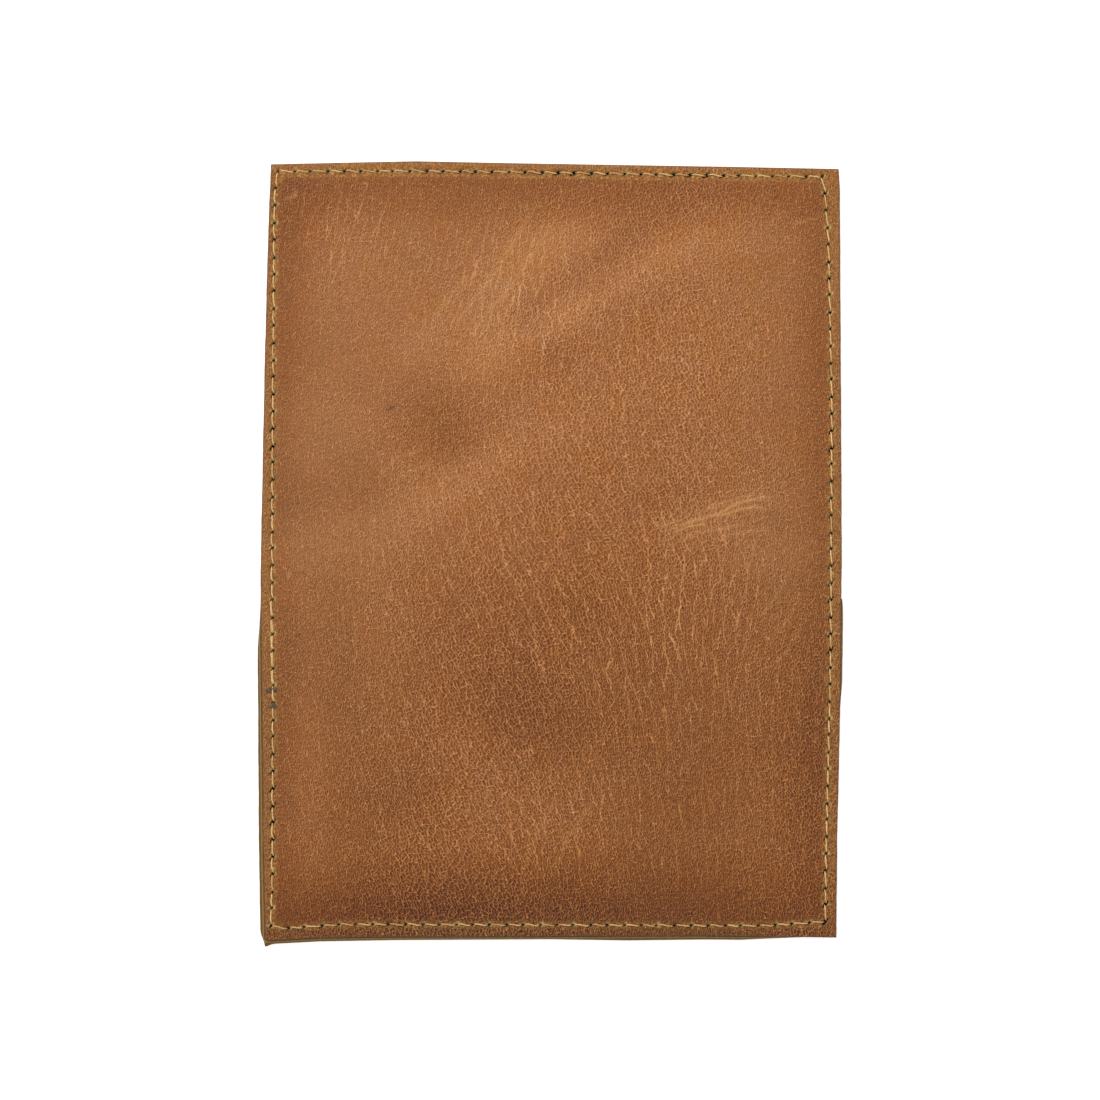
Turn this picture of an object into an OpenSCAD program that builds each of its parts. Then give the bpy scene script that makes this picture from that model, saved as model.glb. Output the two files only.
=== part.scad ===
// Soft leather cover for a pocket notebook, lying open with its outer face up.
// One outer leather folds at the two edges of its spine. An inner leather pocket
// is sewn to each half round three sides, and a lockstitch seam runs round all
// four edges. X runs along the spine, Y across it and Z up.

/* [Cover] */
// Height of the cover along its spine, in millimetres
cover_h = 150; // [120:0.5:260]
// Width of the whole cover when it lies open
open_w = 202; // [170:0.5:420]
// Thickness of the outer leather
shell_t = 1.4; // [1.2:0.1:2.4]
// Radius of the four outer corners
corner_r = 1.6; // [0.5:0.1:6]

/* [Pockets] */
// Thickness of the pocket leather
pocket_t = 1.2; // [1:0.1:2]
// Distance from the middle of the spine to each pocket's mouth
mouth_y = 12; // [11.7:0.1:12.6]

/* [Seam] */
// Distance from the edge to the seam
seam_inset = 2.8; // [2.2:0.1:4]
// Stitches along the open width, an even number
long_stitches = 44; // [44:2:44]
// Stitches along the height
short_stitches = 33; // [20:1:50]
// Stitches that cross the spine, an odd number
spine_stitches = 3; // [3:2:3]
// Thickness of the thread
thread_d = 0.5; // [0.4:0.05:0.6]
// Length of each slanted needle slit
slit_l = 1.2; // [1:0.05:1.4]
// Width of each needle slit
slit_w = 0.6; // [0.55:0.05:0.7]
// Slant of the slits to the seam, in degrees
slit_slant = 35; // [20:1:50]
// Stitches sewn twice where the seam starts and ends
overlap_stitches = 5; // [2:1:8]

/* [Hidden] */
$fn = 48;

eps = 0.01;
half_w = open_w / 2;
seam_x = cover_h / 2 - seam_inset;
seam_y = half_w - seam_inset;
long_pitch = 2 * seam_y / long_stitches;
short_pitch = 2 * seam_x / short_stitches;
// The spine is a whole number of stitches wide, so each fold line falls mid-stitch
fold_y = spine_stitches * long_pitch / 2;
fold_gap = 0.1;
top_z = pocket_t + shell_t;

// The thread lies in a shallow channel on each face
channel_w = 0.7;
outer_sink = 0.25;
inner_sink = 0.45;
bar_h = 0.45;
dip_h = 0.15;
rise = 0.7;
leg_w = 0.3;
leg_d = 0.4;
// Height at which needle thread and bobbin thread lock inside the leather
lock_z = pocket_t + shell_t / 2;
// Free space between two runs of thread that meet at a corner
corner_clear = 0.35;
// Hole numbers count from 0 at one fore-edge to long_stitches at the other
mid_hole = long_stitches / 2;
fold_hole = mid_hole - (spine_stitches + 1) / 2;
mouth_hole = mid_hole - ceil(mouth_y / long_pitch);

overlap_offset = 0.7;
end_blob_r = 0.8;
end_blob_tip_r = 0.5;
end_blob_h = 0.35;
end_blob_inset = 1.25;

OUTER_TAN = [0.62, 0.40, 0.25];
POCKET_TAN = [0.58, 0.39, 0.22];
THREAD_CREAM = [0.80, 0.66, 0.42];
BURNT = [0.27, 0.21, 0.17];

function hole_y(i) = (i - mid_hole) * long_pitch;
function hole_x(j) = (j - short_stitches / 2) * short_pitch;

// Half of the cover from y0 out to the fore-edge at -half_w, with round outer corners
module half_outline(y0) {
    inner_w = cover_h - 2 * corner_r;
    translate([-cover_h / 2, -half_w + corner_r]) square([cover_h, half_w - corner_r - y0]);
    translate([-inner_w / 2, -half_w]) square([inner_w, corner_r + eps]);
    for (side = [-1, 1])
        translate([side * inner_w / 2, -half_w + corner_r]) circle(r = corner_r);
}

// One slanted slit through everything at a stitch hole
module slit(x, y, along) {
    translate([x, y, -1])
        rotate([0, 0, along + slit_slant])
            translate([-slit_l / 2, -slit_w / 2, 0])
                cube([slit_l, slit_w, top_z + 2]);
}

// The slits of a half cover, from the first hole at the fore-edge to the last one
module half_slits(last_hole) {
    for (j = [0 : short_stitches]) slit(hole_x(j), -seam_y, 0);
    for (side = [-1, 1])
        for (i = [1 : last_hole]) slit(side * seam_x, hole_y(i), 90);
}

// Channels for the thread at the height z0, over the length from -seam_y to y1
module half_channels(z0, depth, y1) {
    for (side = [-1, 1])
        translate([side * seam_x - channel_w / 2, -seam_y - channel_w / 2, z0])
            cube([channel_w, seam_y + channel_w / 2 + y1, depth]);
    translate([-seam_x, -seam_y - channel_w / 2, z0]) cube([2 * seam_x, channel_w, depth]);
}

module half_shell() {
    color(OUTER_TAN)
    difference() {
        translate([0, 0, pocket_t])
            linear_extrude(height = shell_t) half_outline(fold_y + fold_gap);
        half_slits(fold_hole);
        half_channels(top_z - outer_sink, outer_sink + 1, 0);
        for (side = [-1, 1])
            translate([side * seam_x - channel_w / 2, -mouth_y, pocket_t - 1])
                cube([channel_w, mouth_y, inner_sink + 1]);
    }
}

module half_pocket() {
    color(POCKET_TAN)
    difference() {
        linear_extrude(height = pocket_t) half_outline(mouth_y);
        half_slits(mouth_hole);
        half_channels(-1, inner_sink + 1, 0);
    }
}

// The middle strip of the outer leather, between the two fold lines
module spine_shell() {
    strip_w = 2 * (fold_y - fold_gap);
    color(OUTER_TAN)
    difference() {
        translate([-cover_h / 2, -strip_w / 2, pocket_t]) cube([cover_h, strip_w, shell_t]);
        for (side = [-1, 1]) {
            for (i = [fold_hole + 1 : long_stitches - fold_hole - 1])
                slit(side * seam_x, hole_y(i), 90);
            translate([side * seam_x - channel_w / 2, -strip_w, top_z - outer_sink])
                cube([channel_w, 2 * strip_w, shell_t]);
            translate([side * seam_x - channel_w / 2, -strip_w, pocket_t - 1])
                cube([channel_w, 2 * strip_w, inner_sink + 1]);
        }
    }
}

// Upper outline of a run of n stitches from hole 0, with part stitches before and after
function run_top(n, pitch, head, tail) = concat(
    head > 0 ? [[-head, bar_h], [-rise, bar_h], [0, dip_h]] : [[-leg_w / 2, dip_h]],
    [for (i = [0 : 1 : n - 1]) each concat(
        [[i * pitch + rise, bar_h], [(i + 1) * pitch - rise, bar_h]],
        (i < n - 1 || tail > 0) ? [[(i + 1) * pitch, dip_h]] : [])],
    tail > 0 ? [[n * pitch + rise, bar_h], [n * pitch + tail, bar_h]]
        : [[n * pitch + leg_w / 2, dip_h]]);

// Lower outline, back from the end, with a leg of the given length down each hole
function run_underside(n, pitch, head, tail, leg) = concat(
    tail > 0 ? [[n * pitch + tail, 0]] : [],
    [for (i = [n : -1 : 0]) each leg > 0
        ? [[i * pitch + leg_w / 2, 0], [i * pitch + leg_w / 2, -leg],
            [i * pitch - leg_w / 2, -leg], [i * pitch - leg_w / 2, 0]]
        : (i == n && tail == 0) ? [[n * pitch + leg_w / 2, 0]]
        : (i == 0 && head == 0) ? [[-leg_w / 2, 0]] : []],
    head > 0 ? [[-head, 0]] : []);

// A run of thread along +X. It lies on Z 0 and its legs go down.
module stitch_run(n, pitch, head, tail, leg) {
    rotate([90, 0, 0])
        translate([0, 0, -leg_d / 2])
            linear_extrude(height = leg_d)
                polygon(concat(run_top(n, pitch, head, tail),
                    run_underside(n, pitch, head, tail, leg)));
}

// A run on a long side, from hole number i0 to i1 in the direction of +Y
module long_run(side, i0, i1, head, tail, z, leg, facing) {
    translate([side * seam_x, hole_y(i0), z])
        mirror([0, 0, facing < 0 ? 1 : 0])
            rotate([0, 0, 90]) stitch_run(i1 - i0, long_pitch, head, tail, leg);
}

module short_run(z, leg, facing) {
    translate([-seam_x, -seam_y, z])
        mirror([0, 0, facing < 0 ? 1 : 0])
            stitch_run(short_stitches, short_pitch, 0, 0, leg);
}

// Needle thread of one half: it shows on the outer face
module half_needle_thread() {
    z = top_z - outer_sink;
    leg = z - lock_z;
    half_stitch = long_pitch / 2 - fold_gap;
    color(THREAD_CREAM) {
        short_run(z, leg, 1);
        for (side = [-1, 1])
            long_run(side, 1, fold_hole, long_pitch - corner_clear, half_stitch, z, leg, 1);
    }
}

module spine_needle_thread() {
    z = top_z - outer_sink;
    half_stitch = long_pitch / 2 - fold_gap;
    color(THREAD_CREAM)
    for (side = [-1, 1])
        long_run(side, fold_hole + 1, long_stitches - fold_hole - 1, half_stitch,
            half_stitch, z, z - lock_z, 1);
}

// Bobbin thread of one half: it shows inside, on the pocket and beside the spine
module half_bobbin_thread() {
    shell_z = pocket_t + inner_sink;
    half_stitch = long_pitch / 2 - fold_gap;
    to_mouth = -mouth_y - hole_y(mouth_hole);
    past_mouth = mouth_y + hole_y(fold_hole) - fold_gap;
    color(THREAD_CREAM) {
        short_run(inner_sink, lock_z - inner_sink, -1);
        for (side = [-1, 1]) {
            long_run(side, 1, mouth_hole, long_pitch - corner_clear, to_mouth,
                inner_sink, lock_z - inner_sink, -1);
            long_run(side, fold_hole, fold_hole, past_mouth, half_stitch,
                shell_z, lock_z - shell_z, -1);
        }
    }
}

module spine_bobbin_thread() {
    z = pocket_t + inner_sink;
    half_stitch = long_pitch / 2 - fold_gap;
    color(THREAD_CREAM)
    for (side = [-1, 1])
        long_run(side, fold_hole + 1, long_stitches - fold_hole - 1, half_stitch,
            half_stitch, z, lock_z - z, -1);
}

// Second pass of the seam beside the first one, at the back pocket's mouth
module overlap_thread() {
    color(THREAD_CREAM)
    translate([-seam_x + overlap_offset, hole_y(fold_hole - overlap_stitches), top_z])
        rotate([0, 0, 90]) stitch_run(overlap_stitches, long_pitch, 0, 0, 0);
}

// The two ends of the thread, melted to small flat beads
module thread_ends() {
    color(BURNT)
    for (i = [1, 2])
        translate([-seam_x + end_blob_inset, hole_y(fold_hole - overlap_stitches - i), top_z])
            cylinder(h = end_blob_h, r1 = end_blob_r, r2 = end_blob_tip_r);
}

module back_shell() { half_shell(); }
module front_shell() { rotate([0, 0, 180]) half_shell(); }
module back_pocket() { half_pocket(); }
module front_pocket() { rotate([0, 0, 180]) half_pocket(); }
module back_needle_thread() { half_needle_thread(); }
module front_needle_thread() { rotate([0, 0, 180]) half_needle_thread(); }
module back_bobbin_thread() { half_bobbin_thread(); }
module front_bobbin_thread() { rotate([0, 0, 180]) half_bobbin_thread(); }

back_shell();
spine_shell();
front_shell();
back_pocket();
front_pocket();
back_needle_thread();
spine_needle_thread();
front_needle_thread();
back_bobbin_thread();
spine_bobbin_thread();
front_bobbin_thread();
overlap_thread();
thread_ends();
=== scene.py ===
"""Leather notebook cover, lying open with its outer face up, on a pale studio floor.

Lengths in the tables below are millimetres in the row frame: X runs along the spine, Y across it, Z up.
The back half is at negative Y and the front half at positive Y.
"""
import math

import bpy
import numpy as np
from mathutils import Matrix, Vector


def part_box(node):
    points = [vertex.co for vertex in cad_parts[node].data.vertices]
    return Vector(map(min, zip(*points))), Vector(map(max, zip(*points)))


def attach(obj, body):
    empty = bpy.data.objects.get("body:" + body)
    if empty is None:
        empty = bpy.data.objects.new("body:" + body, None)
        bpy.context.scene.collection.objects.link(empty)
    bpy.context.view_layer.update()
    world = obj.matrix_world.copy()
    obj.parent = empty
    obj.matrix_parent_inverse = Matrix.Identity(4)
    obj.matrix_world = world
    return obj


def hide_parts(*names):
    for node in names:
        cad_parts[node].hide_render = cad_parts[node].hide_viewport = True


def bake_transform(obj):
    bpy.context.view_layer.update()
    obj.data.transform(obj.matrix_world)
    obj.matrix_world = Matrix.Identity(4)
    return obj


MM = 0.001
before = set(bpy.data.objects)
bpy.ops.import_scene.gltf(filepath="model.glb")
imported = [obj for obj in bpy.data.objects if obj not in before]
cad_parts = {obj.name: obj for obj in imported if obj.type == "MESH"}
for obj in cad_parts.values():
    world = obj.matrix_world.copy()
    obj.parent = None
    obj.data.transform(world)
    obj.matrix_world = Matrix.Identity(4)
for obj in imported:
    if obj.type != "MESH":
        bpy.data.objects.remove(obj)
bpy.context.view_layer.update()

# -------- sizes from the frame
SHELL_LOW, SHELL_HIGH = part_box("spine_shell")
POCKET_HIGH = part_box("back_pocket")[1]
HALF_X = SHELL_HIGH.x / MM
HALF_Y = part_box("front_shell")[1].y / MM
SHELL_TOP = SHELL_HIGH.z / MM
SHELL_UNDER = SHELL_LOW.z / MM
POCKET_TOP = POCKET_HIGH.z / MM
MOUTH_Y = -POCKET_HIGH.y / MM
FOLD_Y = 0.5 * (SHELL_HIGH.y - SHELL_LOW.y) / MM
# How far each side of a fold line, with 0.8 mm more, the shell's inner face has finer cells.
BEND_REACH = 2.4

# -------- the hand-cut outline
# Each list is (place along the side, place of the edge).
LEFT_EDGE = [(-101, -74.1), (-80, -74.5), (-40, -74.9), (-5, -75.3),
             (10, -75.0), (50, -74.2), (80, -73.4), (101, -72.6)]
RIGHT_EDGE = [(-101, 74.3), (-75, 74.5), (-50, 75.1), (-30, 75.4), (0, 75.7),
              (40, 75.5), (75, 75.3), (95, 75.2), (101, 74.9)]
TOP_EDGE = [(-73, 101.1), (-50, 101.6), (-35, 101.9), (-10, 101.4), (20, 100.9), (50, 100.4), (74, 99.9)]
BOTTOM_EDGE = [(-74, -100.6), (-60, -99.9), (-40, -99.6), (0, -99.5), (40, -99.3), (74, -99.8)]
# How far the pocket layer stands out past the shell, from each side.
POCKET_LEFT = [(-101, 1.3), (-70, 1.3), (-25, 1.1), (-14, 0.2), (0, 0.0)]
POCKET_RIGHT = [(-101, -0.3), (-45, -0.2), (-34, 0.6), (-14, 0.6), (-9, -0.1), (0, -0.2)]
POCKET_BOTTOM = [(-75, 1.1), (-40, 1.0), (0, 0.9), (20, 1.3), (50, 1.1), (62, 0.4), (70, 0.0), (75, -0.3)]

# -------- the seam
LEFT_SEAM = [(-97, -72.6), (-86, -72.2), (-34, -72.0), (-10, -72.3),
             (30, -72.1), (86, -71.7), (95, -71.4), (99, -70.8)]
RIGHT_SEAM = [(-96, 71.4), (-83, 71.5), (-27, 72.8), (40, 73.1), (82, 72.2), (95, 71.2), (98, 70.5)]
TOP_SEAM = [(-71, 99.2), (-35, 99.3), (0, 98.9), (40, 98.2), (71, 97.8)]
BOTTOM_SEAM = [(-73, -97.0), (-68, -97.4), (-54, -96.4), (56, -96.8), (71, -95.7)]
LONG_STITCHES = 44
SHORT_STITCHES = 33
THREAD_R = 0.21
# How many times the plies turn round each other in one stitch.
PLY_TURNS = 3.2
SLIT_LONG = 0.95
SLIT_WIDE = 0.33
# How deep the seam is pressed into the pockets' undersides.
SEAM_HOLLOW = 0.46
# The melted ends of the thread, as (x, y, half width, half length).
MELTED_BEADS = [(-73.2, -35.6, 0.75, 0.6), (-71.7, -35.4, 0.65, 0.6), (-72.1, -39.6, 1.0, 0.75)]
BEAD_HEIGHT = 0.34


def curve(points):
    """A function that runs through (place, value) points."""
    places = [p[0] for p in points]
    values = [p[1] for p in points]
    return lambda t: np.interp(t, places, values)


left_edge = curve(LEFT_EDGE)
right_edge = curve(RIGHT_EDGE)
top_edge = curve(TOP_EDGE)
bottom_edge = curve(BOTTOM_EDGE)
left_seam = curve(LEFT_SEAM)
right_seam = curve(RIGHT_SEAM)
top_seam = curve(TOP_SEAM)
bottom_seam = curve(BOTTOM_SEAM)


def smooth(t):
    """0 below 0, 1 above 1, and an even ramp between."""
    t = np.clip(t, 0, 1)
    return t * t * (3 - 2 * t)


def bell(d, width):
    return np.exp(-((d / width) ** 2))


def ripple(t, seed):
    """A slow uneven waviness of size about 1."""
    waves = np.sin(t * 0.31 + seed) + 0.7 * np.sin(t * 0.83 + 2.1 * seed) + 0.5 * np.sin(t * 1.9 + 3.7 * seed)
    return waves / 2.2


# -------- where the holes are
def side_holes(first, last, count, seam, along_y):
    """Holes between two corner holes, on a seam line, spaced by hand and so not quite evenly."""
    holes = []
    for i in range(count + 1):
        t = i / count
        place = first + (last - first) * t
        if 0 < i < count:
            place += 0.16 * math.sin(i * 2.4) + 0.1 * math.sin(i * 5.1 + 1)
        across = float(seam(place))
        holes.append((across, place) if along_y else (place, across))
    return holes


SEAM_LEFT_HOLES = side_holes(-96.8, 99.2, LONG_STITCHES, left_seam, True)
SEAM_RIGHT_HOLES = side_holes(-95.7, 97.8, LONG_STITCHES, right_seam, True)
SEAM_TOP_HOLES = side_holes(-70.8, 70.5, SHORT_STITCHES, top_seam, False)
SEAM_BOTTOM_HOLES = side_holes(-72.6, 71.4, SHORT_STITCHES, bottom_seam, False)
SIDE_SLANT = math.radians(52)
END_SLANT = math.radians(24)


def hole_table():
    """Every hole as (x, y, direction of its slit), each corner once."""
    rows = [(x, y, SIDE_SLANT) for x, y in SEAM_LEFT_HOLES + SEAM_RIGHT_HOLES]
    rows += [(x, y, END_SLANT) for x, y in SEAM_TOP_HOLES[1:-1] + SEAM_BOTTOM_HOLES[1:-1]]
    return np.array(rows)


HOLES = hole_table()

# -------- marks in the leather
# Raised pale ridges and folds, as (points, height, half width).
RIDGES = [
    ([(25.8, 4.3), (37.3, 8.5), (43.7, 10.2), (48.5, 12.9), (54, 14.3), (60, 14.8)], 0.20, 0.36),
    ([(41, 9.0), (46.4, 10.4), (49.6, 11.6), (53.2, 11.9), (57, 11.4)], 0.20, 0.34),
    ([(31, 5.0), (36, 7.0), (41, 7.8)], 0.14, 0.36),
    ([(27.3, 6.6), (34.5, 9.0)], 0.10, 0.34),
    ([(36, 9.6), (43, 12.4), (50, 14.6), (55, 16.2)], 0.08, 0.4),
    ([(30, 1.5), (38, 5.2), (46, 6.6), (53, 8.6)], 0.08, 0.4),
    ([(41, 3.4), (48, 5.0), (58, 6.6)], 0.06, 0.4),
    ([(-26, 58), (-14, 73), (-3, 92)], 0.07, 0.5),
    ([(-20, 58), (-9, 71), (2.5, 88)], 0.06, 0.5),
    ([(-31, 60), (-20, 74)], 0.06, 0.45),
    ([(-8, -85), (-3, -72), (4, -59)], 0.06, 0.45),
    ([(0, -85), (5, -73), (13, -62)], 0.06, 0.45),
    ([(-45.6, 19), (-40, 24.5), (-31, 28)], 0.06, 0.4),
    ([(-43, 16), (-37, 21), (-29, 24)], 0.05, 0.4),
    ([(53.1, -17.7), (58, -12), (62.4, -4.2)], 0.06, 0.4),
    ([(56, -24), (62, -17), (66, -8)], 0.05, 0.4),
    ([(54, -32), (61, -26), (67, -16)], 0.05, 0.4),
    ([(-69.6, 91.8), (-68.2, 92.2), (-66.3, 93.0), (-65.3, 94.8)], 0.1, 0.45),
    ([(-12.7, 90.4), (-11.8, 90.6), (-10.8, 90.4)], 0.08, 0.24),
    ([(-7.2, 90.4), (-6.5, 90.5), (-5.6, 90.3)], 0.07, 0.24),
    ([(-3.4, 90.4), (-2.6, 90.4), (-1.6, 89.9)], 0.07, 0.24),
    ([(62, 85), (67, 86.5), (71, 88)], 0.06, 0.4),
]
# Small dark nicks, as (points, weight, half width). The heaviest is NICK_DEPTH deep.
NICKS = [
    ([(-42.4, 37.2), (-41.6, 37.4), (-40.6, 38.2)], 0.12, 0.34),
    ([(53.2, 59.3), (53.5, 59.3)], 0.14, 0.36),
    ([(-29.2, 42.4), (-28.6, 42.1)], 0.08, 0.3),
]
HEAVIEST_NICK = 0.14
NICK_DEPTH = 0.12
# Soft patches of lighter and darker colour, as (x, y, half length, half width, angle, change in lightness).
PATCHES = [
    (0, 94, 75, 6, 0, -14), (-68, 88, 8, 8, 0, -8), (-69, 72, 6, 26, 0, -12), (66, 90, 8, 6, 0, -4),
    (-9, 72, 16, 8, 40, 13), (-15, 53, 9, 6, 35, 12), (5, 82, 8, 4, 10, 8), (-4, 65, 8, 2.4, 42, -8),
    (4, 61, 6, 3.5, 32, 8), (18, 70, 18, 3.4, 30, 11), (42, 80, 13, 5, 12, 8), (50, 64, 12, 16, 0, 3),
    (17, 80, 10, 3, 36, -5), (3, 51, 4, 4, 0, -8), (-34, 55, 7, 4, 45, 8), (-55, 66, 14, 14, 0, 4),
    (-29, 34, 8, 8, 0, -13), (-26, 30, 3.5, 3, 0, -5), (-60, 32, 10, 10, 0, 6), (20, 44, 26, 9, 20, 3),
    (-31, 14, 12, 5, 28, 10), (-10, 27, 12, 4, 28, 6), (8, 34, 10, 5, 24, 2), (-55, 3, 14, 7, 0, 8),
    (-67, 15, 5, 6, 0, -5), (-50, 18, 6, 5, 0, -4), (45, 11, 13, 4, 17, 9), (30, 15, 6, 3, 20, -5),
    (54, 0, 10, 4, 0, 8), (70, 44, 5, 30, 0, -9), (69, -58, 8, 28, 0, -16), (0, -48, 90, 42, 0, -25),
    (40, 60, 36, 30, 0, -3), (-45, -20, 22, 44, 0, 5), (8, -13, 6, 5, 0, -8), (-11, -28, 9, 9, -25, -4),
    (-4, -42, 12, 7, -12, -9), (22, -24, 7, 3, -30, -4), (-44, -24, 6, 16, 0, 6), (-67, -24, 4, 8, 0, -5),
    (-62, -58, 4, 18, 0, 8), (-47, -67, 9, 7, 20, -7), (-32, -64, 6, 6, 0, -4), (-3, -66, 15, 10, 0, 9),
    (-24, -49, 8, 5, -30, 5), (36, -62, 12, 10, 0, -4), (-66, -18, 6, 26, 0, 7), (-58, 94, 11, 4, 0, -6),
    # The last patch on the next line, along the bottom margin, is painted shade where that edge rounds down
    # away from the light.
    (-18, -61, 8, 14, 0, 5), (-14, 8, 12, 12, 0, 4), (60, 2, 10, 8, 0, 5), (0, -99, 85, 12, 0, -36),
    (-34, -90, 20, 7, 0, -11), (6, -88, 7, 6, 0, -6), (40, -84, 20, 6, 0, -5),
]
# Where the hide is redder (positive) or yellower (negative), as (x, y, half length, half width, amount).
WARMTH = [
    (0, -96, 90, 12, 1.2), (50, -50, 40, 45, 0.2), (-66, 18, 16, 38, -0.8), (62, 0, 12, 14, -0.8),
    (0, 96, 90, 8, 0.35), (-9, 67, 20, 12, 0.1), (40, 45, 40, 30, 0.15),
]
# The lie of the grain, as (x, y, reach, lean): how much the grain leans from the Y direction.
LEANS = [(-45, 72, 34, 0.5), (53, -20, 15, 0.36), (-12, -2, 24, -0.2),
         (-20, -62, 34, -0.18), (30, 40, 40, -0.05)]
LEAN_ALL = -0.14
# How much shorter the grain's cells would be along Y if they were as wide as they are long.
GRAIN_PULL = 0.45
# Where long creases cross the grain, as (x, y, half length, half width, amount).
LONG_CREASES = [
    (40, -14, 16, 16, 0.9), (-10, 70, 16, 12, 0.6), (2, -72, 20, 16, 0.6), (45, -55, 24, 25, 0.55),
    (8, -24, 16, 14, 0.6), (-20, 6, 20, 14, 0.4), (-40, -40, 20, 30, 0.4), (-52, 84, 14, 12, 0.7),
    (20, 40, 26, 26, 0.35),
]
# The hide's lightness where no patch changes it, 0 to 255.
MEAN_TONE = 111


def along(points, x, y):
    """Distance from a broken line, and how far along it (0 to 1) the nearest point is."""
    best = np.full(x.shape, 1e9)
    place = np.zeros(x.shape)
    for k in range(len(points) - 1):
        ax, ay = points[k]
        bx, by = points[k + 1]
        span = (bx - ax) ** 2 + (by - ay) ** 2
        t = np.clip(((x - ax) * (bx - ax) + (y - ay) * (by - ay)) / span, 0, 1)
        d = np.hypot(x - ax - t * (bx - ax), y - ay - t * (by - ay))
        nearer = d < best
        best = np.where(nearer, d, best)
        place = np.where(nearer, (k + t) / (len(points) - 1), place)
    return best, place


def ridge_lift(x, y):
    lift = np.zeros(x.shape)
    for points, height, width in RIDGES:
        d, place = along(points, x, y)
        taper = smooth(4 * place) * smooth(4 * (1 - place))
        lift += height * taper * bell(d, width)
    return lift


def nick_at(x, y):
    """1 in the middle of a small nick, 0 away from it."""
    nick = np.zeros(x.shape)
    for points, weight, width in NICKS:
        d = along(points, x, y)[0]
        nick = np.maximum(nick, weight / HEAVIEST_NICK * bell(d, width))
    return nick


def tone_at(x, y):
    """Lightness of the hide, 0 to 255, without its grain; the top and bottom margins carry painted light and
    shade.
    """
    tone = np.full(x.shape, float(MEAN_TONE))
    for px, py, long_r, wide_r, angle, change in PATCHES:
        a = math.radians(angle)
        s = (x - px) * math.cos(a) + (y - py) * math.sin(a)
        t = (y - py) * math.cos(a) - (x - px) * math.sin(a)
        tone += change * np.exp(-0.5 * ((s / long_r) ** 2 + (t / wide_r) ** 2) ** 1.2)
    inside = seam_distance(x, y)
    tone -= 7 * bell(inside - 2, 4.5)
    # Painted light and shade: the top margin a little lighter and the bottom margin darker, as the top edge
    # rounds toward the light and the bottom edge away from it.
    tone += 3 * smooth((y - 98.5) / 1.5)
    return tone - 16 * smooth((-96.8 - y) / 1.2)


def spread(table, x, y):
    """The sum of soft elliptical patches, each (x, y, half length, half width, amount)."""
    total = np.zeros(x.shape)
    for px, py, rx, ry, amount in table:
        total += amount * np.exp(-0.5 * (((x - px) / rx) ** 2 + ((y - py) / ry) ** 2))
    return total


def warmth_at(x, y):
    return spread(WARMTH, x, y)


def relief_at(x, y):
    """How strongly the grain shows: more at the back, the right and in the margin, less at the left."""
    relief = 1.0 + 0.25 * smooth((10 - y) / 40) + 0.22 * bell(np.hypot(x - 48, y - 32), 28)
    return relief - 0.12 * smooth((-x - 40) / 25) + 0.6 * smooth(-seam_distance(x, y))


def creased_at(x, y):
    return spread(LONG_CREASES, x, y)


def grain_shift(x, y):
    """How far the grain's lines have drifted sideways at each point."""
    shift = LEAN_ALL * y
    for px, py, reach, lean in LEANS:
        shift = shift + lean * reach * np.exp(-0.5 * ((x - px) / reach) ** 2) * np.tanh((y - py) / reach)
    return shift


def seam_distance(x, y):
    """Distance inside the seam rectangle, negative in the margin outside it."""
    sides = np.minimum(x - left_seam(y), right_seam(y) - x)
    ends = np.minimum(top_seam(x) - y, y - bottom_seam(x))
    return np.minimum(sides, ends)


def nearest_hole(x, y):
    """Distances from the nearest hole: across its slit, along its slit, in x and in y."""
    d2 = (x[:, None] - HOLES[None, :, 0]) ** 2 + (y[:, None] - HOLES[None, :, 1]) ** 2
    k = d2.argmin(axis=1)
    dx = x - HOLES[k, 0]
    dy = y - HOLES[k, 1]
    c, s = np.cos(HOLES[k, 2]), np.sin(HOLES[k, 2])
    return dy * c - dx * s, dx * c + dy * s, dx, dy


def pit_at(x, y):
    """1 in the middle of a needle slit, 0 away from it. Some slits are stretched wider than others."""
    across, length, dx, dy = nearest_hole(x, y)
    wider = 1.0 + 0.35 * np.sin((x - dx) * 1.7 + (y - dy) * 2.9)
    open_share = np.clip(0.8 + 0.5 * np.sin((x - dx) * 2.9 + (y - dy) * 1.3), 0.6, 1)
    return open_share * np.exp(-((across / SLIT_WIDE) ** 2 + (length / SLIT_LONG) ** 2) ** 1.3 / wider ** 2)


def dark_patch_at(x, y):
    """A soft dark patch round each slit."""
    across, length = nearest_hole(x, y)[:2]
    return np.exp(-((across / 0.8) ** 2 + (length / 1.25) ** 2))


def lip_at(x, y):
    """1 on the leather pushed up beside each slit."""
    dx, dy = nearest_hole(x, y)[2:]
    share = 0.6 + 0.5 * np.sin((x - dx) * 2.3 + (y - dy) * 3.7)
    right = np.exp(-(((dx - 0.5) / 0.45) ** 2 + ((dy - 0.35) / 0.5) ** 2))
    left = np.exp(-(((dx + 0.65) / 0.3) ** 2 + ((dy - 0.1) / 0.4) ** 2))
    return share * np.maximum(right, 0.7 * left)


def margin_at(x, y):
    """Distance in from the cut edge."""
    sides = np.minimum(x - left_edge(y), right_edge(y) - x)
    ends = np.minimum(top_edge(x) - y, y - bottom_edge(x))
    return np.minimum(sides, ends)


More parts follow.
